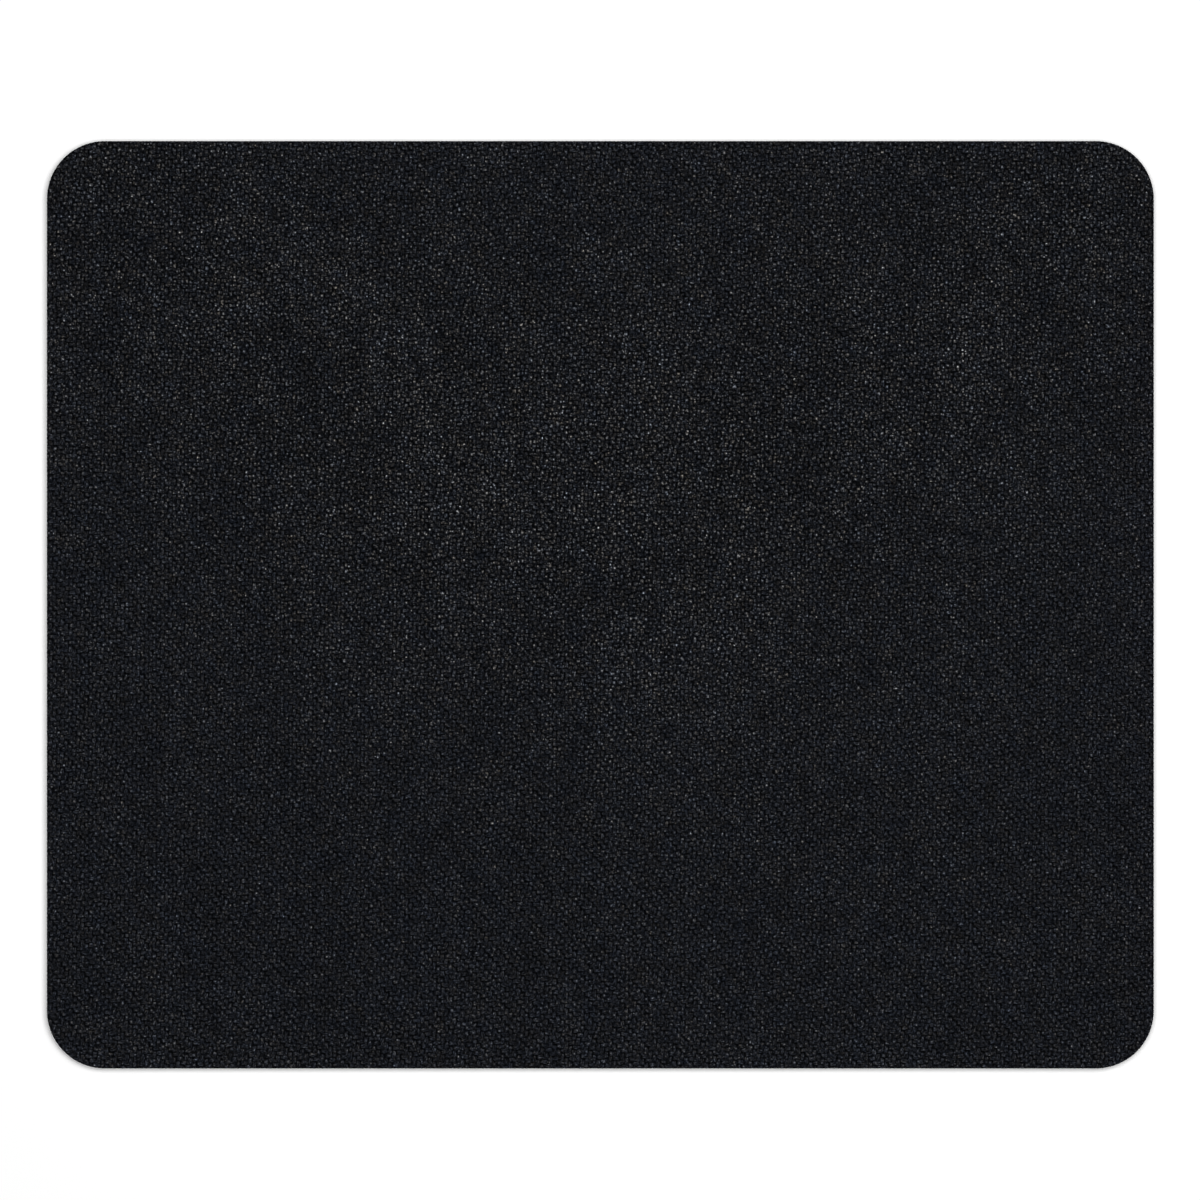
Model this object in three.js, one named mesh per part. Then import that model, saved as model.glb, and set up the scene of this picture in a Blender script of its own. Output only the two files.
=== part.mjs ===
// Cloth-faced mouse pad: a woven cover, bonded by a thin film to a sponge rubber base.
// The three layers are laminated as a sheet and cut out together by one stroke of a steel-rule die,
// so they share one outline and one continuous cut face.
// Millimetres, +Z up. The origin is the centre of the underside, where the pad rests on the desk.

import * as THREE from 'three';

// Outline that the die cuts
const PAD_WIDTH = 234.95;
const PAD_DEPTH = 196.85;
const CORNER_RADIUS = 12.3;

// Layers of the laminate, from the desk up
const BASE_THICKNESS = 2.5;
const FILM_THICKNESS = 0.1;
const COVER_THICKNESS = 0.6;

// Cut face: the die drags the cover's edge down, squeezes the sponge, which springs back dished,
// and pinches the underside's skin round
const COVER_ROLL_REACH = 0.5;
const COVER_ROLL_DROP = 0.3;
const SPONGE_DISH_DEPTH = 0.2;
const UNDERSIDE_ROUND = 0.25;

// Facets of the curves
const CORNER_STEPS = 24;
const ROUND_STEPS = 4;
const DISH_STEPS = 8;

const QUARTER_TURN = Math.PI / 2;
const CORNERS = [[1, 1], [-1, 1], [-1, -1], [1, -1]];

// The die's outline drawn in by an inset, as four concentric corner arcs joined by straight sides
function outline(inset) {
  const centreX = PAD_WIDTH / 2 - CORNER_RADIUS;
  const centreY = PAD_DEPTH / 2 - CORNER_RADIUS;
  const radius = CORNER_RADIUS - inset;
  const points = [];
  CORNERS.forEach(([sideX, sideY], corner) => {
    for (let step = 0; step <= CORNER_STEPS; step += 1) {
      const angle = (corner + step / CORNER_STEPS) * QUARTER_TURN;
      const x = sideX * centreX + radius * Math.cos(angle);
      const y = sideY * centreY + radius * Math.sin(angle);
      points.push(new THREE.Vector2(x, y));
    }
  });
  return points;
}

// A closed layer whose side follows a profile of insets and heights, from its lower face up
function layer(profile) {
  const rings = profile.map((level) => outline(level.inset));
  const ringSize = rings[0].length;
  const topStart = (rings.length - 1) * ringSize;

  const positions = [];
  rings.forEach((ring, index) => {
    ring.forEach((point) => positions.push(point.x, point.y, profile[index].height));
  });

  const triangles = [];
  for (let ring = 0; ring < rings.length - 1; ring += 1) {
    for (let step = 0; step < ringSize; step += 1) {
      const next = (step + 1) % ringSize;
      const lower = ring * ringSize;
      const upper = lower + ringSize;
      triangles.push(lower + step, lower + next, upper + next);
      triangles.push(lower + step, upper + next, upper + step);
    }
  }
  THREE.ShapeUtils.triangulateShape(rings[0], []).forEach(([a, b, c]) => {
    triangles.push(a, c, b);
    triangles.push(topStart + a, topStart + b, topStart + c);
  });

  const geometry = new THREE.BufferGeometry();
  geometry.setAttribute('position', new THREE.Float32BufferAttribute(positions, 3));
  geometry.setIndex(triangles);
  geometry.computeVertexNormals();
  return geometry;
}

// Sponge base: a round lower edge, then a cut face dished between the two skins
function spongeBase() {
  const profile = [];
  for (let step = 0; step <= ROUND_STEPS; step += 1) {
    const angle = (step / ROUND_STEPS) * QUARTER_TURN;
    profile.push({
      inset: UNDERSIDE_ROUND * (1 - Math.sin(angle)),
      height: UNDERSIDE_ROUND * (1 - Math.cos(angle)),
    });
  }
  const dishHeight = BASE_THICKNESS - UNDERSIDE_ROUND;
  for (let step = 1; step <= DISH_STEPS; step += 1) {
    const riseShare = step / DISH_STEPS;
    profile.push({
      inset: SPONGE_DISH_DEPTH * Math.sin(Math.PI * riseShare),
      height: UNDERSIDE_ROUND + dishHeight * riseShare,
    });
  }
  const material = new THREE.MeshStandardMaterial({ color: 0x17181a, roughness: 0.62, metalness: 0 });
  const mesh = new THREE.Mesh(layer(profile), material);
  mesh.name = 'sponge_base';
  return mesh;
}

// Bonding film: a hot-melt sheet that fills the whole outline between the sponge and the cover
function bondingFilm() {
  const profile = [
    { inset: 0, height: 0 },
    { inset: 0, height: FILM_THICKNESS },
  ];
  const material = new THREE.MeshStandardMaterial({ color: 0x242527, roughness: 0.35, metalness: 0 });
  const mesh = new THREE.Mesh(layer(profile), material);
  mesh.name = 'bonding_film';
  mesh.position.z = BASE_THICKNESS;
  return mesh;
}

// Cloth cover: a straight cut foot, then the edge rolled over by the die as a quarter ellipse
function clothCover() {
  const drop = Math.min(COVER_ROLL_DROP, COVER_THICKNESS);
  const footHeight = COVER_THICKNESS - drop;
  const profile = footHeight > 0 ? [{ inset: 0, height: 0 }] : [];
  for (let step = 0; step <= ROUND_STEPS; step += 1) {
    const angle = (step / ROUND_STEPS) * QUARTER_TURN;
    profile.push({
      inset: COVER_ROLL_REACH * (1 - Math.cos(angle)),
      height: footHeight + drop * Math.sin(angle),
    });
  }
  const material = new THREE.MeshStandardMaterial({ color: 0x1a1b1e, roughness: 0.8, metalness: 0 });
  const mesh = new THREE.Mesh(layer(profile), material);
  mesh.name = 'cloth_cover';
  mesh.position.z = BASE_THICKNESS + FILM_THICKNESS;
  return mesh;
}

const group = new THREE.Group();
group.name = 'mouse_pad';
group.add(spongeBase(), bondingFilm(), clothCover());

export default group;
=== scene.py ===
import math
from collections import namedtuple

import bpy
import numpy as np
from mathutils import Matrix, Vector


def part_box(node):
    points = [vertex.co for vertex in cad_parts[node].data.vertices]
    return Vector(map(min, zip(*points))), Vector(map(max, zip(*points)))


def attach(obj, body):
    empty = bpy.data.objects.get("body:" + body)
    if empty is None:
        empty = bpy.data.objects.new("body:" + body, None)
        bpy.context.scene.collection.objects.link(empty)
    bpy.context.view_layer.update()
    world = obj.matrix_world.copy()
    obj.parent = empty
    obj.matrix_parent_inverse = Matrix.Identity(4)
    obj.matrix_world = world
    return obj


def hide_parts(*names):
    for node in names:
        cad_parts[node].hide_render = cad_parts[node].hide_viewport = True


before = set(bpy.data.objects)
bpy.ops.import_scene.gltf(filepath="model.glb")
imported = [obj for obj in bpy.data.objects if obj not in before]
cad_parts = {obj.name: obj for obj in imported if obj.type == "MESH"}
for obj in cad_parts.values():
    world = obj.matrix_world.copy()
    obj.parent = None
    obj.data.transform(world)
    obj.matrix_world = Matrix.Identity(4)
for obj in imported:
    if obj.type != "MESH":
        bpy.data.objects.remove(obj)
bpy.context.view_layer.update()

# Units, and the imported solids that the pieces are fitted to, in metres
MM = 0.001
COVER_LOW, COVER_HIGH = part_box("cloth_cover")
FILM_LOW, FILM_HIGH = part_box("bonding_film")
BASE_LOW, BASE_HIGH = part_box("sponge_base")
HALF_X = COVER_HIGH[0]
HALF_Y = COVER_HIGH[1]
TOP = COVER_HIGH[2]

# Cut outline and cut face, as on the solids
CORNER_RADIUS = 12.3 * MM
ROLL_REACH = 0.5 * MM
ROLL_DROP = 0.3 * MM
DISH_DEPTH = 0.2 * MM
UNDERSIDE_ROUND = 0.25 * MM

# Twill weave of the cover: thread pitches, slope of the weft, and rises of a thread and of its floats
WARP_PITCH = 0.849 * MM
WEFT_PITCH = 0.877 * MM
WEFT_SLOPE = 0.066
CROWN_RISE = 0.133 * MM
FLOAT_RISE = 0.150 * MM
WEAVE_DEPTH = CROWN_RISE + FLOAT_RISE
THREAD_WIDTH_SHARE = 1.04
REPEAT = 4
WARP_MIDDLE = 0
WEFT_MIDDLE = 3
SAMPLES_PER_THREAD = 4

QUARTER_TURN = math.pi / 2
FULL_TURN = 2 * math.pi
rng = np.random.default_rng(seed=41)


# The cut outline: four straight sides and four corner arcs, counterclockwise from the foot of the right side

CORE_X = HALF_X - CORNER_RADIUS
CORE_Y = HALF_Y - CORNER_RADIUS
ARC_LENGTH = CORNER_RADIUS * QUARTER_TURN
STRETCHES = [2 * CORE_Y, ARC_LENGTH, 2 * CORE_X, ARC_LENGTH] * 2
KNOT_RUNS = np.concatenate([[0.0], np.cumsum(STRETCHES)])
KNOT_ANGLES = QUARTER_TURN * np.array([0, 0, 1, 1, 2, 2, 3, 3, 4])
KNOT_CENTRES_X = CORE_X * np.array([1, 1, 1, -1, -1, -1, -1, 1, 1])
KNOT_CENTRES_Y = CORE_Y * np.array([-1, 1, 1, 1, 1, -1, -1, -1, -1])
PERIMETER = KNOT_RUNS[-1]

# Angles are rounded, so that one a hair below 0 doesn't count as a full turn
ANGLE_DIGITS = 9


def outline_points(run, inset):
    """Points at distances run along the outline, drawn in by an inset, and the outward directions there."""
    run = run % PERIMETER
    angle = np.interp(run, KNOT_RUNS, KNOT_ANGLES)
    out_x = np.cos(angle)
    out_y = np.sin(angle)
    radius = CORNER_RADIUS - inset
    x = np.interp(run, KNOT_RUNS, KNOT_CENTRES_X) + radius * out_x
    y = np.interp(run, KNOT_RUNS, KNOT_CENTRES_Y) + radius * out_y
    return x, y, out_x, out_y


def runs_at(x, y):
    """Distances along the outline of the outline points nearest to points close to the rim."""
    core_x = np.clip(x, -CORE_X, CORE_X)
    core_y = np.clip(y, -CORE_Y, CORE_Y)
    quarters = np.arctan2(y - core_y, x - core_x) / QUARTER_TURN
    quarters = np.round(quarters, ANGLE_DIGITS) % 4
    straight = np.select(
        [quarters < 1, quarters < 2, quarters < 3],
        [core_y + CORE_Y, 2 * CORE_Y + CORE_X - core_x, 2 * CORE_X + 3 * CORE_Y - core_y],
        3 * CORE_X + 4 * CORE_Y + core_x,
    )
    return ARC_LENGTH * quarters + straight


def distance_in(x, y):
    """How far in from the outline each point lies, negative outside."""
    over_x = np.abs(x) - CORE_X
    over_y = np.abs(y) - CORE_Y
    corner = np.hypot(np.maximum(over_x, 0), np.maximum(over_y, 0))
    return CORNER_RADIUS - corner - np.minimum(np.maximum(over_x, over_y), 0)


# The weave: where its threads run, and the height of its top surface

DRIFT_WAVES = 14
DRIFT_LENGTHS = (5 * MM, 60 * MM)
DRIFT_SHARE = 0.045


def drift_waves():
    """Random directions, lengths and phases of the waves by which threads drift from an even pitch."""
    lengths = np.exp(rng.uniform(*np.log(DRIFT_LENGTHS), DRIFT_WAVES))
    angles = rng.uniform(0, FULL_TURN, DRIFT_WAVES)
    phases = rng.uniform(0, FULL_TURN, DRIFT_WAVES)
    return FULL_TURN * np.cos(angles) / lengths, FULL_TURN * np.sin(angles) / lengths, phases


WARP_DRIFT = drift_waves()
WEFT_DRIFT = drift_waves()


def drift(waves, x, y):
    """How far threads have drifted at each point, in threads."""
    total = sum(np.sin(wave_x * x + wave_y * y + phase) for wave_x, wave_y, phase in zip(*waves))
    return DRIFT_SHARE * total / math.sqrt(DRIFT_WAVES / 2)


def threads_at(x, y):
    """Where each point lies, counted in warp threads to the right and in weft threads down."""
    across = x / WARP_PITCH + drift(WARP_DRIFT, x, y)
    down = -(y + WEFT_SLOPE * x) / WEFT_PITCH + drift(WEFT_DRIFT, x, y)
    return across, down


def points_at(across, down):
    """The reverse of threads_at, as near as a smooth drift allows."""
    x = across * WARP_PITCH
    y = -down * WEFT_PITCH - WEFT_SLOPE * x
    drifted_x = (across - drift(WARP_DRIFT, x, y)) * WARP_PITCH
    drifted_y = -(down - drift(WEFT_DRIFT, x, y)) * WEFT_PITCH - WEFT_SLOPE * drifted_x
    return drifted_x, drifted_y


# Floats of both sets vary in height and tilt, by tables that repeat after so many threads and floats
FLOAT_TABLE = (2, 512, 256)
FLOAT_RISE_SPREAD = 0.012 * MM
FLOAT_TILT_SPREAD = 0.020 * MM
FLOAT_RISES = rng.normal(0, FLOAT_RISE_SPREAD, FLOAT_TABLE)
FLOAT_TILTS = rng.normal(0, FLOAT_TILT_SPREAD, FLOAT_TABLE)


def weave_depth(across, down):
    """Depth of a 2/2 twill's top surface under its highest crowns.

    Warp thread i lies over weft threads i - 1 and i, and weft thread j over warp threads j + 2 and j + 3.
    A point on the line between two threads takes the higher of them.
    """
    height = np.full(np.shape(across), -np.inf)
    for is_warp in (1, 0):
        place, length, middle = (across, down, WARP_MIDDLE) if is_warp else (down, across, WEFT_MIDDLE)
        for back in (0, 1):
            thread = np.floor(place) - back
            side = 2 * (place - thread) - 1
            from_middle = length - thread - middle
            number = np.round(from_middle / REPEAT)
            along = from_middle - REPEAT * number
            key = (is_warp, thread.astype(int) % FLOAT_TABLE[1], number.astype(int) % FLOAT_TABLE[2])
            crown = 1 - (side / THREAD_WIDTH_SHARE) ** 2
            found = (
                CROWN_RISE * np.sqrt(np.maximum(crown, 0))
                + FLOAT_RISE * np.cos(along * QUARTER_TURN)
                + FLOAT_RISES[key]
                + FLOAT_TILTS[key] * along
            )
            height = np.where(crown >= 0, np.maximum(height, found), height)
    return np.maximum(WEAVE_DEPTH - height, 0)


# Meshes


def add_mesh(name, points, parts, values):
    """A smooth mesh object. parts pairs faces with corner UVs, and values holds numbers for the points."""
    corners = np.concatenate([faces.ravel() for faces, _ in parts])
    sizes = np.concatenate([np.full(len(faces), faces.shape[1]) for faces, _ in parts])
    starts = np.concatenate([[0], np.cumsum(sizes)[:-1]])
    uvs = np.concatenate([uv.reshape(-1, 2) for _, uv in parts])
    mesh = bpy.data.meshes.new(name)
    mesh.vertices.add(len(points))
    mesh.vertices.foreach_set("co", points.astype(np.float32).ravel())
    mesh.loops.add(len(corners))
    mesh.loops.foreach_set("vertex_index", corners.astype(np.int32))
    mesh.polygons.add(len(sizes))
    mesh.polygons.foreach_set("loop_start", starts.astype(np.int32))
    mesh.update(calc_edges=True)
    mesh.shade_smooth()
    mesh.uv_layers.new(name="OFBake").uv.foreach_set("vector", uvs.astype(np.float32).ravel())
    for key, numbers in values.items():
        attribute = mesh.attributes.new(key, "FLOAT", "POINT")
        attribute.data.foreach_set("value", numbers.astype(np.float32))
    piece = bpy.data.objects.new(name, mesh)
    bpy.context.scene.collection.objects.link(piece)
    return piece


# The UV map gives most of its square to the flat face. Below lie rows for the side, then one for a small
# hidden face, and a free one.
FACE_UV_SHARE = 0.9
WALL_ROWS = 4
HIDDEN_AND_FREE_ROWS = 2
ROW_UV = (1 - FACE_UV_SHARE) / (WALL_ROWS + HIDDEN_AND_FREE_ROWS)
ROW_FILL_SHARE = 0.75
ROW_LENGTH = PERIMETER / WALL_ROWS


def face_uv(points):
    u = 0.5 + points[..., 0] / (2 * HALF_X)
    v = 0.5 + points[..., 1] / (2 * HALF_Y)
    return np.stack([u, 1 - FACE_UV_SHARE * (1 - v)], axis=-1)


def hidden_uv(points):
    return face_uv(points) * ROW_UV + (0.0, WALL_ROWS * ROW_UV)


def wall_uv(runs, shares):
    """UVs for the quads between rings, in rows of a quarter outline. shares are the rings' places up it."""
    ends = np.append(runs[1:], runs[0] + PERIMETER)
    row = np.minimum(runs // ROW_LENGTH, WALL_ROWS - 1)
    u = np.stack([runs, ends, ends, runs], axis=1) / ROW_LENGTH - row[:, None]
    uvs = []
    for upper, lower in zip(shares, shares[1:]):
        up = np.array([lower, lower, upper, upper])
        v = (row[:, None] + ROW_FILL_SHARE * up) * ROW_UV
        uvs.append(np.stack([np.clip(u, 0, 1), v], axis=-1))
    return np.concatenate(uvs)


def quads_between(rings):
    """Quads between rings of as many points, listed from the top down, facing out."""
    bands = []
    for upper, lower in zip(rings, rings[1:]):
        bands.append(np.stack([lower, np.roll(lower, -1), np.roll(upper, -1), upper], axis=1))
    return np.concatenate(bands)


def fan(ring, middle, facing_up):
    """Triangles from a ring to its middle point."""
    following = np.roll(ring, -1)
    sides = (ring, following) if facing_up else (following, ring)
    return np.stack([*sides, np.full(len(ring), middle)], axis=1)


# Woven cover

MARGIN_THREADS = 2
FACE_EDGE_ANGLE = math.radians(70)
FACE_EDGE = ROLL_REACH * (1 - math.cos(FACE_EDGE_ANGLE))
ROLL_ANGLES = np.radians([55, 40, 27, 14, 0])
CUT_SHARES = (0.66, 0.33, 0.0)
END_GAP_DEPTH = 0.07 * MM
ROLL_RELIEF_SHARE = 0.25
WELD_GAP = 0.004 * MM


def roll_drop(inset):
    """How far the rolled edge has come down at an inset."""
    reach = np.clip(1 - inset / ROLL_REACH, 0, 1)
    return ROLL_DROP * (1 - np.sqrt(1 - reach**2))


def woven_face():
    """The woven face as a grid in step with the threads, cut where the roll begins.

    Returns its points, their places in threads, its triangles, and its rim in order with the rim's runs.
    """
    reach_across = SAMPLES_PER_THREAD * (int(HALF_X / WARP_PITCH) + MARGIN_THREADS)
    highest = HALF_Y + WEFT_SLOPE * HALF_X
    reach_down = SAMPLES_PER_THREAD * (int(highest / WEFT_PITCH) + MARGIN_THREADS)
    across, down = np.meshgrid(
        np.arange(-reach_across, reach_across + 1) / SAMPLES_PER_THREAD,
        np.arange(-reach_down, reach_down + 1) / SAMPLES_PER_THREAD,
    )
    number = np.arange(across.size).reshape(across.shape)
    upper_left, upper_right = number[:-1, :-1].ravel(), number[:-1, 1:].ravel()
    lower_left, lower_right = number[1:, :-1].ravel(), number[1:, 1:].ravel()
    triangles = np.concatenate(
        [
            np.stack([upper_left, lower_left, lower_right], axis=1),
            np.stack([upper_left, lower_right, upper_right], axis=1),
        ]
    )
    across, down = across.ravel(), down.ravel()
    x, y = points_at(across, down)
    inside = distance_in(x, y) > FACE_EDGE
    triangles = triangles[inside[triangles].any(axis=1)]

    # Corners that stick out are drawn in to the rim, and those that meet there become one
    rim = np.setdiff1d(triangles, np.flatnonzero(inside))
    runs = runs_at(x[rim], y[rim])
    order = np.argsort(runs, kind="stable")
    rim, runs = rim[order], runs[order]
    first = np.append(True, np.diff(runs) > WELD_GAP)
    stand_in = np.arange(x.size)
    stand_in[rim] = rim[np.maximum.accumulate(np.where(first, np.arange(rim.size), 0))]
    rim, runs = rim[first], runs[first]
    x[rim], y[rim], _, _ = outline_points(runs, FACE_EDGE)
    across[rim], down[rim] = threads_at(x[rim], y[rim])
    triangles = stand_in[triangles]
    triangles = triangles[(triangles != np.roll(triangles, 1, axis=1)).all(axis=1)]

    kept = np.unique(triangles)
    new_number = np.zeros(x.size, dtype=int)
    new_number[kept] = np.arange(kept.size)
    return x[kept], y[kept], across[kept], down[kept], new_number[triangles], new_number[rim], runs


def woven_cover():
    """The cover: woven face, rolled rim, cut side with its thread ends, and the flat face that is glued."""
    x, y, across, down, triangles, rim, runs = woven_face()
    foot = COVER_LOW[2]
    height = TOP - roll_drop(distance_in(x, y)) - weave_depth(across, down)
    points = [np.stack([x, y, height], axis=1)]
    threads = [np.stack([across, down, np.zeros(x.size)], axis=1)]
    rings = [rim]

    roll = []
    for angle in ROLL_ANGLES:
        roll.append((ROLL_REACH * (1 - math.cos(angle)), TOP - ROLL_DROP * (1 - math.sin(angle))))
    cut_height = TOP - ROLL_DROP - foot
    cut = [(0.0, foot + cut_height * share) for share in CUT_SHARES]
    for inset, level in roll + cut:
        ring_x, ring_y, out_x, out_y = outline_points(runs, inset)
        across, down = threads_at(ring_x, ring_y)
        nearness = 1 - inset / FACE_EDGE
        end_side = 2 * (np.where(np.abs(out_x) > np.abs(out_y), down, across) % 1) - 1
        pull = END_GAP_DEPTH * nearness * end_side**2
        on_roll = level >= TOP - ROLL_DROP
        relief = 1 - (1 - ROLL_RELIEF_SHARE) * nearness if on_roll else 0.0
        height = np.maximum(level - relief * weave_depth(across, down), foot)
        points.append(np.stack([ring_x - out_x * pull, ring_y - out_y * pull, height], axis=1))
        threads.append(np.stack([across, down, np.full(runs.size, nearness)], axis=1))
        start = rings[-1].max() + 1 if len(rings) > 1 else x.size
        rings.append(np.arange(start, start + runs.size))
    middle = rings[-1].max() + 1
    points = np.concatenate([*points, [[0.0, 0.0, foot]]])
    across, down, cut_share = np.concatenate([*threads, [[0.0, 0.0, 1.0]]]).T

    roll_count = len(roll)
    roll_quads = quads_between(rings[: roll_count + 1])
    cut_quads = quads_between(rings[roll_count:])
    glued = fan(rings[-1], middle, facing_up=False)
    parts = [
        (triangles, face_uv(points[triangles])),
        (roll_quads, face_uv(points[roll_quads])),
        (cut_quads, wall_uv(runs, (1.0, *CUT_SHARES))),
        (glued, hidden_uv(points[glued])),
    ]
    return add_mesh("woven_cover", points, parts, {"across": across, "down": down, "cut": cut_share})


# Bond line and sponge, lofted from rings on runs of their own


def profile_shares(levels):
    """Places of a profile's levels along it, from 1 at its top to 0 at its foot."""
    insets = np.array([np.mean(inset) for inset, _ in levels])
    heights = np.array([height for _, height in levels])
    steps = np.hypot(np.diff(insets), np.diff(heights))
    return 1 - np.concatenate([[0.0], np.cumsum(steps)]) / steps.sum()


def lofted(name, runs, levels, values, foot_uv):
    """A closed layer through rings of insets and heights, from the top down, with a flat top and foot."""
    points = []
    for inset, height in levels:
        x, y, _, _ = outline_points(runs, inset)
        points.append(np.stack([x, y, np.full(runs.size, height)], axis=1))
    top_middle = runs.size * len(levels)
    points = np.concatenate([*points, [[0.0, 0.0, levels[0][1]], [0.0, 0.0, levels[-1][1]]]])
    rings = np.arange(top_middle).reshape(len(levels), runs.size)
    quads = quads_between(rings)
    top = fan(rings[0], top_middle, facing_up=True)
    foot = fan(rings[-1], top_middle + 1, facing_up=False)
    parts = [
        (quads, wall_uv(runs, profile_shares(levels))),
        (top, hidden_uv(points[top])),
        (foot, foot_uv(points[foot])),
    ]
    return add_mesh(name, points, parts, values)


FILM_STEP = 0.3 * MM
FILM_SHARES = (1.0, 0.75, 0.5, 0.25, 0.0)
FILM_BACK = 0.06 * MM
FILM_WAVER = 0.015 * MM
WAVER_STEPS = 9


def bond_line():
    """The film, whose edge wavers a little behind the cut and bulges where the press squeezed it."""
    count = int(PERIMETER / FILM_STEP)
    runs = np.arange(count) * PERIMETER / count
    steps = rng.normal(0, 1, count)
    waver = sum(np.roll(steps, shift) for shift in range(WAVER_STEPS)) / math.sqrt(WAVER_STEPS)
    levels = []
    for share in FILM_SHARES:
        bulge = FILM_BACK / 2 * math.sin(math.pi * share)
        inset = np.maximum(FILM_BACK - bulge + FILM_WAVER * waver, 0)
        levels.append((inset, FILM_LOW[2] + (FILM_HIGH[2] - FILM_LOW[2]) * share))
    return lofted("bond_line", runs, levels, {}, hidden_uv)


WALL_STEP = 0.11 * MM
WALL_LEVELS = 23
SKIN = 0.12 * MM
CELLS_PER_AREA = 14 / MM**2
CELL_RADIUS_MIDDLE = 0.10 * MM
CELL_RADIUS_SPREAD = 0.45
CELL_RADIUS_RANGE = (0.05 * MM, 0.34 * MM)
CELL_DEPTH_SHARE = 0.85
DEEPEST_CELL = CELL_DEPTH_SHARE * CELL_RADIUS_RANGE[1]
ROUND_ANGLES = np.radians([60, 30, 0])
UNDERSIDE_RING = 0.3 * MM


def open_cells(runs, heights):
    """Depth of the sponge's cut cells over its side wall, by height and run."""
    depths = np.zeros((heights.size, runs.size))
    low, high = heights.min() + SKIN, heights.max() - SKIN
    count = int(CELLS_PER_AREA * PERIMETER * (high - low))
    radii = CELL_RADIUS_MIDDLE * np.exp(rng.normal(0, CELL_RADIUS_SPREAD, count))
    radii = np.clip(radii, *CELL_RADIUS_RANGE)
    step = runs[1] - runs[0]
    for radius, run, height in zip(radii, rng.uniform(0, PERIMETER, count), rng.uniform(low, high, count)):
        columns = np.arange(int((run - radius) / step), int((run + radius) / step) + 2)
        away = np.hypot(columns * step - run, heights[:, None] - height)
        depth = CELL_DEPTH_SHARE * np.sqrt(np.maximum(radius**2 - away**2, 0))
        columns = columns % runs.size
        depths[:, columns] = np.maximum(depths[:, columns], depth)
    return depths


def moulded_sponge():
    """The sponge: a dished cut face full of open cells, and a round lower edge to the moulded underside."""
    count = int(PERIMETER / WALL_STEP)
    runs = np.arange(count) * PERIMETER / count
    foot = BASE_LOW[2]
    shares = np.linspace(1, 0, WALL_LEVELS)
    heights = foot + UNDERSIDE_ROUND + (BASE_HIGH[2] - foot - UNDERSIDE_ROUND) * shares
    cells = open_cells(runs, heights)
    dish = DISH_DEPTH * np.sin(math.pi * shares)
    levels = [(inset + depth, height) for inset, depth, height in zip(dish, cells, heights)]
    for angle in ROUND_ANGLES:
        height = foot + UNDERSIDE_ROUND * (1 - math.cos(angle))
        levels.append((UNDERSIDE_ROUND * (1 - math.sin(angle)), height))
    levels.append((UNDERSIDE_ROUND + UNDERSIDE_RING, foot))

    plain_count = (len(levels) - WALL_LEVELS) * count
    opened = np.concatenate([cells.ravel() / DEEPEST_CELL, np.zeros(plain_count + 2)])
    under = np.concatenate([np.zeros((len(levels) - 1) * count), np.ones(count), [0.0, 1.0]])
    return lofted("moulded_sponge", runs, levels, {"opened": opened, "under": under}, face_uv)


# Node arithmetic


class Field:
    """A number over a surface. Arithmetic on it adds Math nodes to its material."""

    def __init__(self, tree, socket):
        self.tree = tree
        self.socket = socket

    def math(self, operation, *others):
        node = self.tree.nodes.new("ShaderNodeMath")
        node.operation = operation
        for place, value in enumerate((self, *others)):
            put(self.tree, node.inputs[place], value)
        return Field(self.tree, node.outputs[0])

    def __add__(self, other):
        return self.math("ADD", other)

    def __sub__(self, other):
        return self.math("SUBTRACT", other)

    def __mul__(self, other):
        return self.math("MULTIPLY", other)

    def __truediv__(self, other):
        return self.math("DIVIDE", other)

    def __pow__(self, other):
        return self.math("POWER", other)

    def __rsub__(self, other):
        return self * -1 + other

    __radd__ = __add__
    __rmul__ = __mul__


def put(tree, socket, value):
    """Links a field or an output to a socket, or sets the socket's own value."""
    if isinstance(value, Field):
        value = value.socket
    if isinstance(value, bpy.types.NodeSocket):
        tree.links.new(value, socket)
    else:
        socket.default_value = value


def add_node(tree, kind, settings, inputs):
    node = tree.nodes.new(kind)
    for key, value in settings.items():
        setattr(node, key, value)
    for name, value in inputs.items():
        put(tree, node.inputs[name], value)
    return node


def attribute(tree, name):
    node = add_node(tree, "ShaderNodeAttribute", {"attribute_name": name}, {})
    return Field(tree, node.outputs["Fac"])


def vector(tree, x, y, z):
    return add_node(tree, "ShaderNodeCombineXYZ", {}, {"X": x, "Y": y, "Z": z}).outputs[0]


def split_vector(tree, place):
    node = add_node(tree, "ShaderNodeSeparateXYZ", {}, {"Vector": place})
    return [Field(tree, output) for output in node.outputs]


def colour(tree, channels):
    inputs = dict(zip(("Red", "Green", "Blue"), channels))
    return add_node(tree, "ShaderNodeCombineColor", {}, inputs).outputs[0]


def split_colour(tree, mixed):
    node = add_node(tree, "ShaderNodeSeparateColor", {}, {"Color": mixed})
    return [Field(tree, output) for output in node.outputs]


def chances(tree, place):
    """Three even random numbers from 0 to 1 for each place."""
    white = add_node(tree, "ShaderNodeTexWhiteNoise", {"noise_dimensions": "3D"}, {"Vector": place})
    return split_colour(tree, white.outputs["Color"])


def ramp(tree, value, low, high):
    """A smooth step from 0 at low to 1 at high."""
    inputs = {"Value": value, "From Min": low, "From Max": high}
    node = add_node(tree, "ShaderNodeMapRange", {"interpolation_type": "SMOOTHSTEP"}, inputs)
    return Field(tree, node.outputs["Result"])


def noise(tree, place, scale, detail):
    """A smooth random number about 0, mostly within 0.5 of it."""
    inputs = {"Vector": place, "Scale": scale, "Detail": detail}
    node = add_node(tree, "ShaderNodeTexNoise", {"noise_dimensions": "3D"}, inputs)
    return Field(tree, node.outputs["Fac"]) - 0.5


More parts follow.
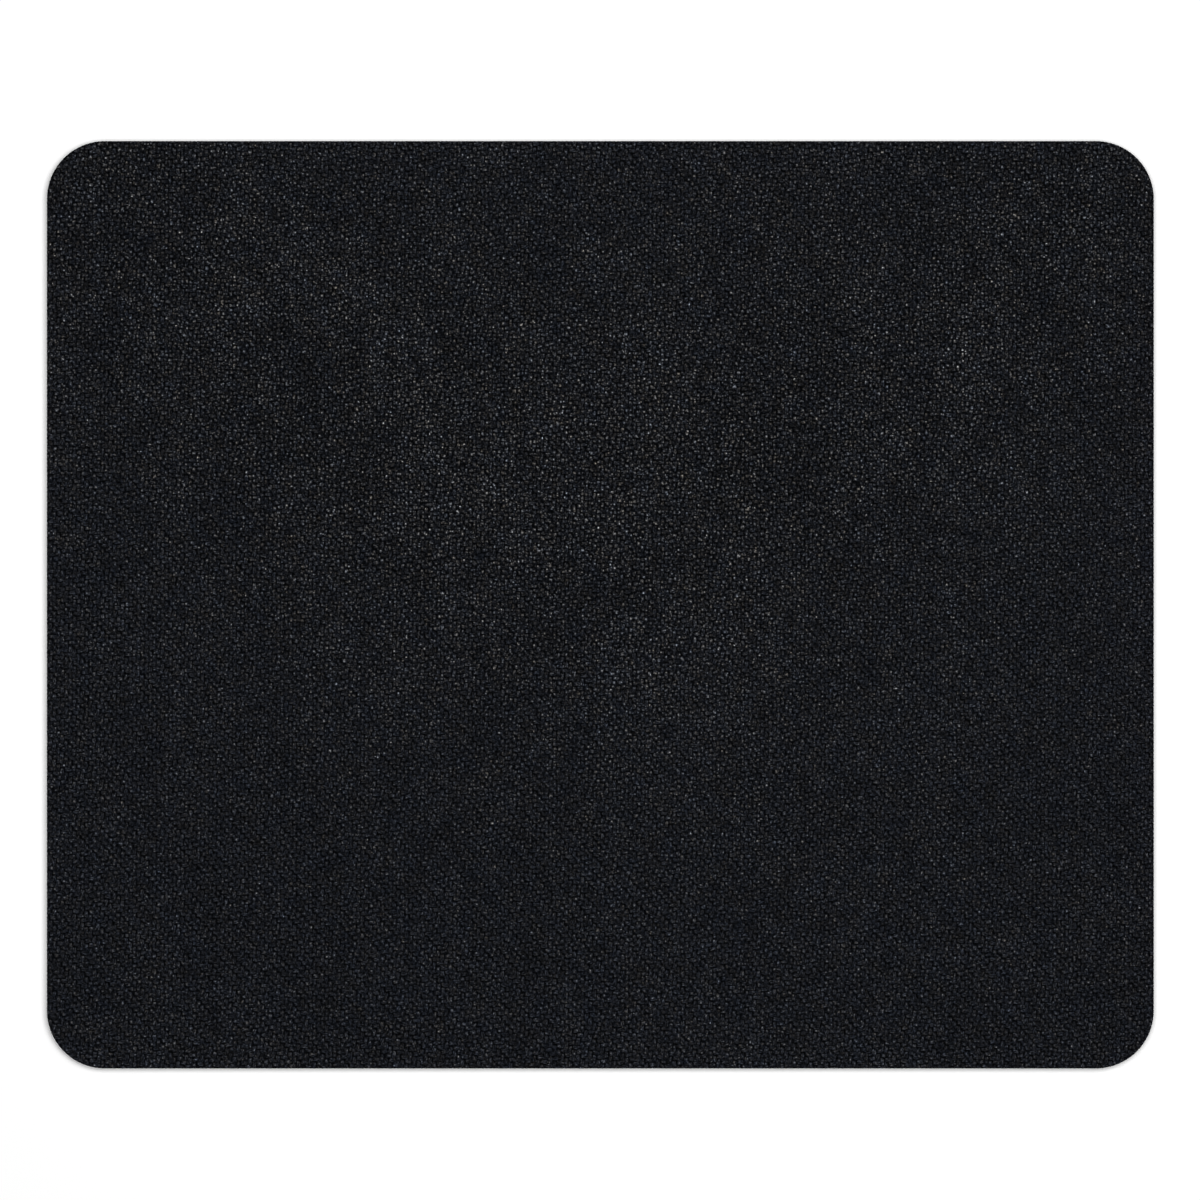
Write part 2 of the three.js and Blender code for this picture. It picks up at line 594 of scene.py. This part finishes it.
def object_place(tree):
    return tree.nodes.new("ShaderNodeTexCoord").outputs["Object"]


def new_material(name):
    material = bpy.data.materials.new(name)
    material.use_nodes = True
    return material, material.node_tree


def set_surface(tree, channels, roughness, specular, height, distance):
    """Sets the shader's colour and gloss, and bumps whose height in metres is height times distance."""
    bumps = add_node(tree, "ShaderNodeBump", {}, {"Height": height, "Distance": distance})
    values = {
        "Base Color": colour(tree, channels),
        "Roughness": roughness,
        "Specular IOR Level": specular,
        "Normal": bumps.outputs["Normal"],
    }
    for name, value in values.items():
        put(tree, tree.nodes["Principled BSDF"].inputs[name], value)


# Cloth: dark yarn with a painted highlight, a glint, on each float and finer painted sparkles, which also
# raise its real specular level there
# Along a float, lengths count threads from its middle. Over it, they count half threads from its centre.

BASE_TONE = 0.0068
BASE_TINT = (0.91, 1.0, 1.27)
GLINT_TINT = (1.01, 1.0, 1.03)
GLINT_WARMTH = (0.14, 0.0, -0.22)
# Painted shade: base and glints darken towards the gaps between threads by these powers of the float's
# height
SHADE_POWER = 1.6
GLINT_SHADE_POWER = 0.3

# In the colour, a float is painted widest at its start, where the thread before it casts a painted shade,
# and narrows to its end. The painted shade in the gaps keeps a share of the tone.
FLOAT_TAPER = 0.2
FLOAT_LEAN = 0.03
START_SHADE = (-1.0, -0.5)
START_TONE = 0.2
GAP_SHARE = 0.17

GLINT_SIDE = 0.08
GLINT_ALONG = -0.28
GLINT_SIDE_JITTER = 0.2
GLINT_ALONG_JITTER = 0.4
GLINT_WIDTH = 0.52
GLINT_LENGTH = 0.18
GLINT_SIZE_SPREAD = 0.26
GLINT_LEAST = 0.01
GLINT_RANGE = 0.058
GLINT_POWER = 2.7

# Sparkles, painted highlights of single fibres, lie in cells, so many to a thread over and along it. Their
# widths and reaches are in threads.
Sparkles = namedtuple("Sparkles", "key cells_over cells_along width reach strength")
COARSE_SPARKLES = Sparkles(10, 1.0, 1.25, 0.17, 0.155, 0.09)
FINE_SPARKLES = Sparkles(12, 2.0, 1.45, 0.09, 0.16, 0.035)
SPARKLE_POWER = 2.9
SPARKLE_LEAST = 0.05
SPARKLE_JITTER = 0.65

# Unevenness: fibres and filaments drawn out along the yarn, whole threads, and single floats
GRAIN_STRENGTH = 5.8
FIBRES_PER_THREAD = 3.4
FIBRE_TURNS_PER_THREAD = 1.6
FILAMENT_STRENGTH = 3.0
FILAMENTS_PER_THREAD = 13.0
FILAMENT_TURNS_PER_THREAD = 0.9
STRAND_SLANT = 0.086
THREAD_SPREAD = 0.13
FLOAT_SPREAD = 0.45

# Patches in the strength of the painted glints, and of tint, as pairs of a pitch and a strength
MOTTLES = ((9 * MM, 1.1), (25 * MM, 0.7))
MOTTLE_STRETCH = 0.6
TINT_WAVES = ((4 * MM, 1.0), (0.7 * MM, 1.2))
TINTS = (-0.18, 0.0, 0.27)

# A painted broad highlight, an arch bent by so much per metre across. In it the painted glints are brighter
# and the base tone darker.
HIGHLIGHT_POOL_CENTRE = (-2 * MM, 29 * MM)
HIGHLIGHT_POOL_REACH = (173 * MM, 57 * MM)
HIGHLIGHT_POOL_BEND = 4.7
POOL_GLINT_GAIN = 1.34
OUTSIDE_POOL_GLINT_GAIN = 0.48
OUTSIDE_POOL_BASE_LIFT = 0.58

SHINE = 2.0
SHINE_ROUGHNESS = 0.45
DULL_ROUGHNESS = 0.85
FIBRE_ROUGHNESS = 0.2
FIBRE_RELIEF = 0.015 * MM
# Painted glints fade over the rolled rim and are dim on the cut side
RIM_GLINT_FADE = 0.75

# Keys that keep the random draws apart
PLACE_KEY = 0
SIZE_KEY = 2
SPREAD_KEY = 4
THREAD_KEY = 0.5
WARP_STRAND_KEY = 9
FILAMENT_KEY = 30


Float = namedtuple("Float", "height side along thread number place length")


def float_at(place, length, middle):
    """The float that each point of one set of threads is on.

    place counts across the threads, and length along them. The float's height is a share of the weave depth.
    side and along are where the point is on the float, and thread and number say which float it is.
    """
    thread = place.math("FLOOR")
    side = (place - thread) * 2 - 1
    from_middle = length - thread - middle
    number = (from_middle / REPEAT).math("ROUND")
    along = from_middle - number * REPEAT
    half_width = (1 - along * FLOAT_TAPER) * THREAD_WIDTH_SHARE
    crown = (1 - ((side + along * FLOAT_LEAN) / half_width) ** 2).math("MAXIMUM", 0.0).math("SQRT")
    rise = (along * QUARTER_TURN).math("COSINE")
    height = crown * (CROWN_RISE / WEAVE_DEPTH) + rise * (FLOAT_RISE / WEAVE_DEPTH)
    return Float(height, side, along, thread, number, place, length)


def float_chances(tree, top, on_warp, key):
    """Three random numbers for each float."""
    return chances(tree, vector(tree, top.thread, top.number, on_warp + key))


def painted_glint_on(tree, top, on_warp):
    """A painted highlight, a glint, on each float, with its own strength, size and place, and its hue as a
    chance from 0 to 1.
    """
    chance_side, chance_along, chance_strength = float_chances(tree, top, on_warp, PLACE_KEY)
    chance_width, chance_length, chance_hue = float_chances(tree, top, on_warp, SIZE_KEY)
    width = ((chance_width * 2 - 1) * GLINT_SIZE_SPREAD).math("EXPONENT") * GLINT_WIDTH
    reach = ((chance_length * 2 - 1) * GLINT_SIZE_SPREAD).math("EXPONENT") * GLINT_LENGTH
    along_off = top.along - GLINT_ALONG - (chance_along * 2 - 1) * GLINT_ALONG_JITTER
    side_off = top.side - GLINT_SIDE - (chance_side * 2 - 1) * GLINT_SIDE_JITTER
    spot = ((side_off / width) ** 2 + (along_off / reach) ** 2) * -1
    strength = chance_strength**GLINT_POWER * GLINT_RANGE + GLINT_LEAST
    return spot.math("EXPONENT") * strength, chance_hue


def painted_sparkles_on(tree, top, on_warp, sparkles):
    """Painted highlights where single fibres catch the light, one in each cell along the yarn."""
    over = top.place * sparkles.cells_over
    run = top.length * sparkles.cells_along
    over_cell = over.math("FLOOR")
    run_cell = run.math("FLOOR")
    draws = chances(tree, vector(tree, over_cell, run_cell, on_warp + sparkles.key))
    chance_power, chance_over, chance_run = draws
    over_off = over - over_cell - 0.5 - (chance_over - 0.5) * SPARKLE_JITTER
    run_off = run - run_cell - 0.5 - (chance_run - 0.5) * SPARKLE_JITTER
    over_share = over_off / (sparkles.width * sparkles.cells_over)
    run_share = run_off / (sparkles.reach * sparkles.cells_along)
    spot = (over_share**2 + run_share**2) * -1
    power = chance_power**SPARKLE_POWER * (1 - SPARKLE_LEAST) + SPARKLE_LEAST
    return spot.math("EXPONENT") * power * sparkles.strength


def strands_on(tree, top, key, per_thread, turns, detail):
    """Noise drawn out along the yarn, in so many strands to a thread that turn over so often along it."""
    over = top.place * per_thread + top.length * (STRAND_SLANT * per_thread)
    return noise(tree, vector(tree, over, top.length * turns, key), scale=1.0, detail=detail)


def highlight_pool_share(tree, place):
    """1 along the middle of the painted highlight pool, which bends up at both ends, falling to 0 round it.
    """
    x, y, _ = split_vector(tree, place)
    off_x = x - HIGHLIGHT_POOL_CENTRE[0]
    off_y = y - HIGHLIGHT_POOL_CENTRE[1] - off_x**2 * HIGHLIGHT_POOL_BEND
    return (((off_x / HIGHLIGHT_POOL_REACH[0]) ** 2 + (off_y / HIGHLIGHT_POOL_REACH[1]) ** 2) * -1).math("EXPONENT")


def cloth_material():
    material, tree = new_material("black_twill")
    across = attribute(tree, "across")
    down = attribute(tree, "down")
    cut = attribute(tree, "cut")
    place = object_place(tree)

    # Of the two floats at each point, the higher shows
    warp = float_at(across, down, WARP_MIDDLE)
    weft = float_at(down, across, WEFT_MIDDLE)
    on_warp = warp.height.math("GREATER_THAN", weft.height)
    top = Float(*(below + (above - below) * on_warp for above, below in zip(warp, weft)))
    # Painted shade: the colour darkens from each crown to the gaps, and at the start of each float
    height = top.height.math("MAXIMUM", 0.0) * (1 - GAP_SHARE) + GAP_SHARE
    start = ramp(tree, top.along, *START_SHADE) * (1 - START_TONE) + START_TONE

    strand_key = on_warp * WARP_STRAND_KEY
    fibre = strands_on(tree, top, strand_key, FIBRES_PER_THREAD, FIBRE_TURNS_PER_THREAD, detail=1.0)
    strand_key = strand_key + FILAMENT_KEY
    filament = strands_on(tree, top, strand_key, FILAMENTS_PER_THREAD, FILAMENT_TURNS_PER_THREAD, detail=0.0)
    chance_thread, _, _ = chances(tree, vector(tree, top.thread, THREAD_KEY, on_warp))
    chance_float, _, _ = float_chances(tree, top, on_warp, SPREAD_KEY)
    uneven = fibre * GRAIN_STRENGTH + filament * FILAMENT_STRENGTH
    uneven = uneven + (chance_thread - 0.5) * THREAD_SPREAD + (chance_float - 0.5) * FLOAT_SPREAD
    grain = uneven.math("EXPONENT")

    stretch = {0: place, 1: (1.0, MOTTLE_STRETCH, 1.0)}
    stretched = add_node(tree, "ShaderNodeVectorMath", {"operation": "MULTIPLY"}, stretch).outputs["Vector"]
    mottle = 1 + sum(noise(tree, stretched, 1 / pitch, detail=1.0) * strength for pitch, strength in MOTTLES)
    tint = sum(noise(tree, place, 1 / pitch, detail=1.0) * strength for pitch, strength in TINT_WAVES)
    highlight_pool = highlight_pool_share(tree, place)

    glint, chance_hue = painted_glint_on(tree, top, on_warp)
    coarse = painted_sparkles_on(tree, top, on_warp, COARSE_SPARKLES)
    fine = painted_sparkles_on(tree, top, on_warp, FINE_SPARKLES)
    # Painted highlights, stronger in the painted highlight pool, and a base tone that is lifted outside it
    glint_gain = highlight_pool * (POOL_GLINT_GAIN - OUTSIDE_POOL_GLINT_GAIN) + OUTSIDE_POOL_GLINT_GAIN
    lit = height**GLINT_SHADE_POWER * start * grain
    bright = (glint + coarse + fine) * lit * mottle * glint_gain * (1 - cut * RIM_GLINT_FADE)
    base = height**SHADE_POWER * start * grain * BASE_TONE * (1 + OUTSIDE_POOL_BASE_LIFT - highlight_pool * OUTSIDE_POOL_BASE_LIFT)
    warmth = chance_hue - 0.5
    channels = [
        (base * base_tint + bright * (warmth * warm + glint_tint)) * (tint * shift + 1)
        for base_tint, glint_tint, warm, shift in zip(BASE_TINT, GLINT_TINT, GLINT_WARMTH, TINTS)
    ]
    shine = (bright * SHINE).math("MINIMUM", 1.0)
    roughness = fibre * FIBRE_ROUGHNESS + DULL_ROUGHNESS - shine * (DULL_ROUGHNESS - SHINE_ROUGHNESS)
    set_surface(tree, channels, roughness, shine, fibre + filament, FIBRE_RELIEF)
    return material


# Film and sponge

GRAIN_PITCH = 0.35 * MM
PATCH_PITCH = 14 * MM
GRAIN_DETAIL = 2.0

FILM_COLOUR = (0.0130, 0.0134, 0.0142)
FILM_SPECULAR = 0.35
FILM_ROUGHNESS = 0.4
FILM_GRAIN_SHADE = 0.8
FILM_GRAIN_ROUGHNESS = 0.4
FILM_GRAIN_RELIEF = 0.02 * MM

SPONGE_COLOUR = (0.0092, 0.0096, 0.0106)
SPONGE_SPECULAR = 0.25
SPONGE_ROUGHNESS = 0.7
SPONGE_GRAIN_SHADE = 0.9
SPONGE_GRAIN_ROUGHNESS = 0.25
SPONGE_GRAIN_RELIEF = 0.03 * MM
PATCH_SHADE = 0.6
PATCH_ROUGHNESS = 0.15
# Painted shade in the open cells and pores of the cut face
CELL_SHADE = 0.75
CELL_SHADE_GAIN = 2.4
PORE_PITCH = 0.17 * MM
PORE_RADIUS_LEAST = 0.12
PORE_RADIUS_RANGE = 0.5
PORE_SHADE = 0.8
PORE_RELIEF = 0.05 * MM

# The underside skin, smoother than the cut face, with the print of the mould's cloth
IMPRINT_PITCH = 0.7 * MM
IMPRINT_RELIEF = 0.05 * MM
IMPRINT_SHADE = 0.22
IMPRINT_GRAIN = 0.6
SKIN_SMOOTHNESS = 0.1


def film_material():
    material, tree = new_material("melt_film")
    grain = noise(tree, object_place(tree), 1 / GRAIN_PITCH, GRAIN_DETAIL)
    channels = [(grain * FILM_GRAIN_SHADE + 1) * channel for channel in FILM_COLOUR]
    roughness = grain * FILM_GRAIN_ROUGHNESS + FILM_ROUGHNESS
    set_surface(tree, channels, roughness, FILM_SPECULAR, grain, FILM_GRAIN_RELIEF)
    return material


def pores_on(tree, place):
    """1 in the middle of each small pore of the sponge, falling to 0 at its rim."""
    cells = add_node(tree, "ShaderNodeTexVoronoi", {}, {"Vector": place, "Scale": 1 / PORE_PITCH})
    chance, _, _ = split_colour(tree, cells.outputs["Color"])
    radius = chance * PORE_RADIUS_RANGE + PORE_RADIUS_LEAST
    return (1 - Field(tree, cells.outputs["Distance"]) / radius).math("MAXIMUM", 0.0).math("SQRT")


def sponge_material():
    """Black sponge with painted shade in its cells and pores, and the print of the mould's cloth on the
    underside.
    """
    material, tree = new_material("sponge_rubber")
    place = object_place(tree)
    x, y, _ = split_vector(tree, place)
    opened = attribute(tree, "opened")
    under = attribute(tree, "under")
    grain = noise(tree, place, 1 / GRAIN_PITCH, GRAIN_DETAIL)
    patches = noise(tree, place, 1 / PATCH_PITCH, GRAIN_DETAIL)
    pores = pores_on(tree, place) * (1 - under)
    in_cell = (opened * CELL_SHADE_GAIN).math("MINIMUM", 1.0)

    turns = FULL_TURN / IMPRINT_PITCH
    weave = (x * turns).math("SINE") * (y * turns).math("SINE")
    imprint = (weave + grain * IMPRINT_GRAIN) * under
    tone = (1 - in_cell * CELL_SHADE) * (1 - pores * PORE_SHADE) * (grain * SPONGE_GRAIN_SHADE + 1)
    tone = tone * (patches * PATCH_SHADE + 1) * (imprint * IMPRINT_SHADE + 1)
    height = imprint * (IMPRINT_RELIEF / MM) + grain * (SPONGE_GRAIN_RELIEF / MM)
    height = height - pores * (PORE_RELIEF / MM)
    roughness = SPONGE_ROUGHNESS - under * SKIN_SMOOTHNESS
    roughness = roughness + grain * SPONGE_GRAIN_ROUGHNESS + patches * PATCH_ROUGHNESS
    set_surface(tree, [tone * channel for channel in SPONGE_COLOUR], roughness, SPONGE_SPECULAR, height, MM)
    return material


# Stage, light and camera

CAMERA_LENS = 200.0
SENSOR = 36.0
CAMERA_CLIP = (0.01, 20.0)
FRAME_WIDTH = 254.64 * MM
CAMERA_PLACE = (-0.08 * MM, 1.01 * MM)
KEY_SIZE = (0.875, 0.663)
KEY_PLACE = (0.092, 0.083, 1.2)
KEY_POWER = 16.0
FILL_STRENGTH = 0.04
FLOOR_SIZE = 6.0
FLOOR_COLOUR = 0.88
FLOOR_COLOUR_SEEN = 1.06
FLOOR_FADE = (0.3, 0.8)


def seen_ray(tree):
    """1 for rays that show the background: from the camera, or by a reflection or glass."""
    path = tree.nodes.new("ShaderNodeLightPath")
    names = ("Is Camera Ray", "Is Glossy Ray", "Is Transmission Ray")
    camera, glossy, through = (Field(tree, path.outputs[name]) for name in names)
    return camera.math("MAXIMUM", glossy).math("MAXIMUM", through)


def make_stage():
    half = FLOOR_SIZE / 2
    mesh = bpy.data.meshes.new("floor")
    corners = [(-half, -half, 0), (half, -half, 0), (half, half, 0), (-half, half, 0)]
    mesh.from_pydata(corners, [], [(0, 1, 2, 3)])
    floor = bpy.data.objects.new("floor", mesh)
    bpy.context.scene.collection.objects.link(floor)

    # The floor is overexposed where it is seen, as in the photograph, and gives back plain white light. Away
    # from the object it fades into the white background.
    material = bpy.data.materials.new("white_floor")
    material.use_nodes = True
    tree = material.node_tree
    tree.nodes.remove(tree.nodes["Principled BSDF"])
    seen = seen_ray(tree)
    white = seen * (FLOOR_COLOUR_SEEN - FLOOR_COLOUR) + FLOOR_COLOUR
    diffuse = add_node(tree, "ShaderNodeBsdfDiffuse", {}, {"Color": colour(tree, [white] * 3)})
    backdrop = tree.nodes.new("ShaderNodeEmission")
    x, y, _ = split_vector(tree, object_place(tree))
    far = ramp(tree, (x**2 + y**2).math("SQRT"), *FLOOR_FADE)
    shaders = {0: seen * far, 1: diffuse.outputs["BSDF"], 2: backdrop.outputs["Emission"]}
    mix = add_node(tree, "ShaderNodeMixShader", {}, shaders)
    put(tree, tree.nodes["Material Output"].inputs["Surface"], mix.outputs["Shader"])
    mesh.materials.append(material)

    world = bpy.data.worlds.new("studio")
    bpy.context.scene.world = world
    world.use_nodes = True
    tree = world.node_tree
    background = tree.nodes["Background"]
    put(tree, background.inputs["Color"], (1.0, 1.0, 1.0, 1.0))
    put(tree, background.inputs["Strength"], seen_ray(tree) * (1 - FILL_STRENGTH) + FILL_STRENGTH)

    light = bpy.data.lights.new("key", "AREA")
    light.shape = "RECTANGLE"
    light.size, light.size_y = KEY_SIZE
    light.energy = KEY_POWER
    key = bpy.data.objects.new("key", light)
    key.location = KEY_PLACE
    bpy.context.scene.collection.objects.link(key)


def make_camera():
    lens = bpy.data.cameras.new("camera")
    lens.lens = CAMERA_LENS
    lens.sensor_width = SENSOR
    lens.clip_start, lens.clip_end = CAMERA_CLIP
    camera = bpy.data.objects.new("camera", lens)
    camera.location = (*CAMERA_PLACE, TOP + FRAME_WIDTH * CAMERA_LENS / SENSOR)
    bpy.context.scene.collection.objects.link(camera)
    bpy.context.scene.camera = camera


def dress(piece, material, node):
    """Gives a piece its material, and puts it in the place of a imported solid."""
    piece.data.materials.append(material)
    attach(piece, "root")
    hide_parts(node)


def main():
    cover = woven_cover()
    dress(cover, cloth_material(), "cloth_cover")

    dress(bond_line(), film_material(), "bonding_film")

    sponge = moulded_sponge()
    dress(sponge, sponge_material(), "sponge_base")

    make_stage()
    make_camera()
    bpy.context.scene.view_settings.view_transform = "Standard"


main()
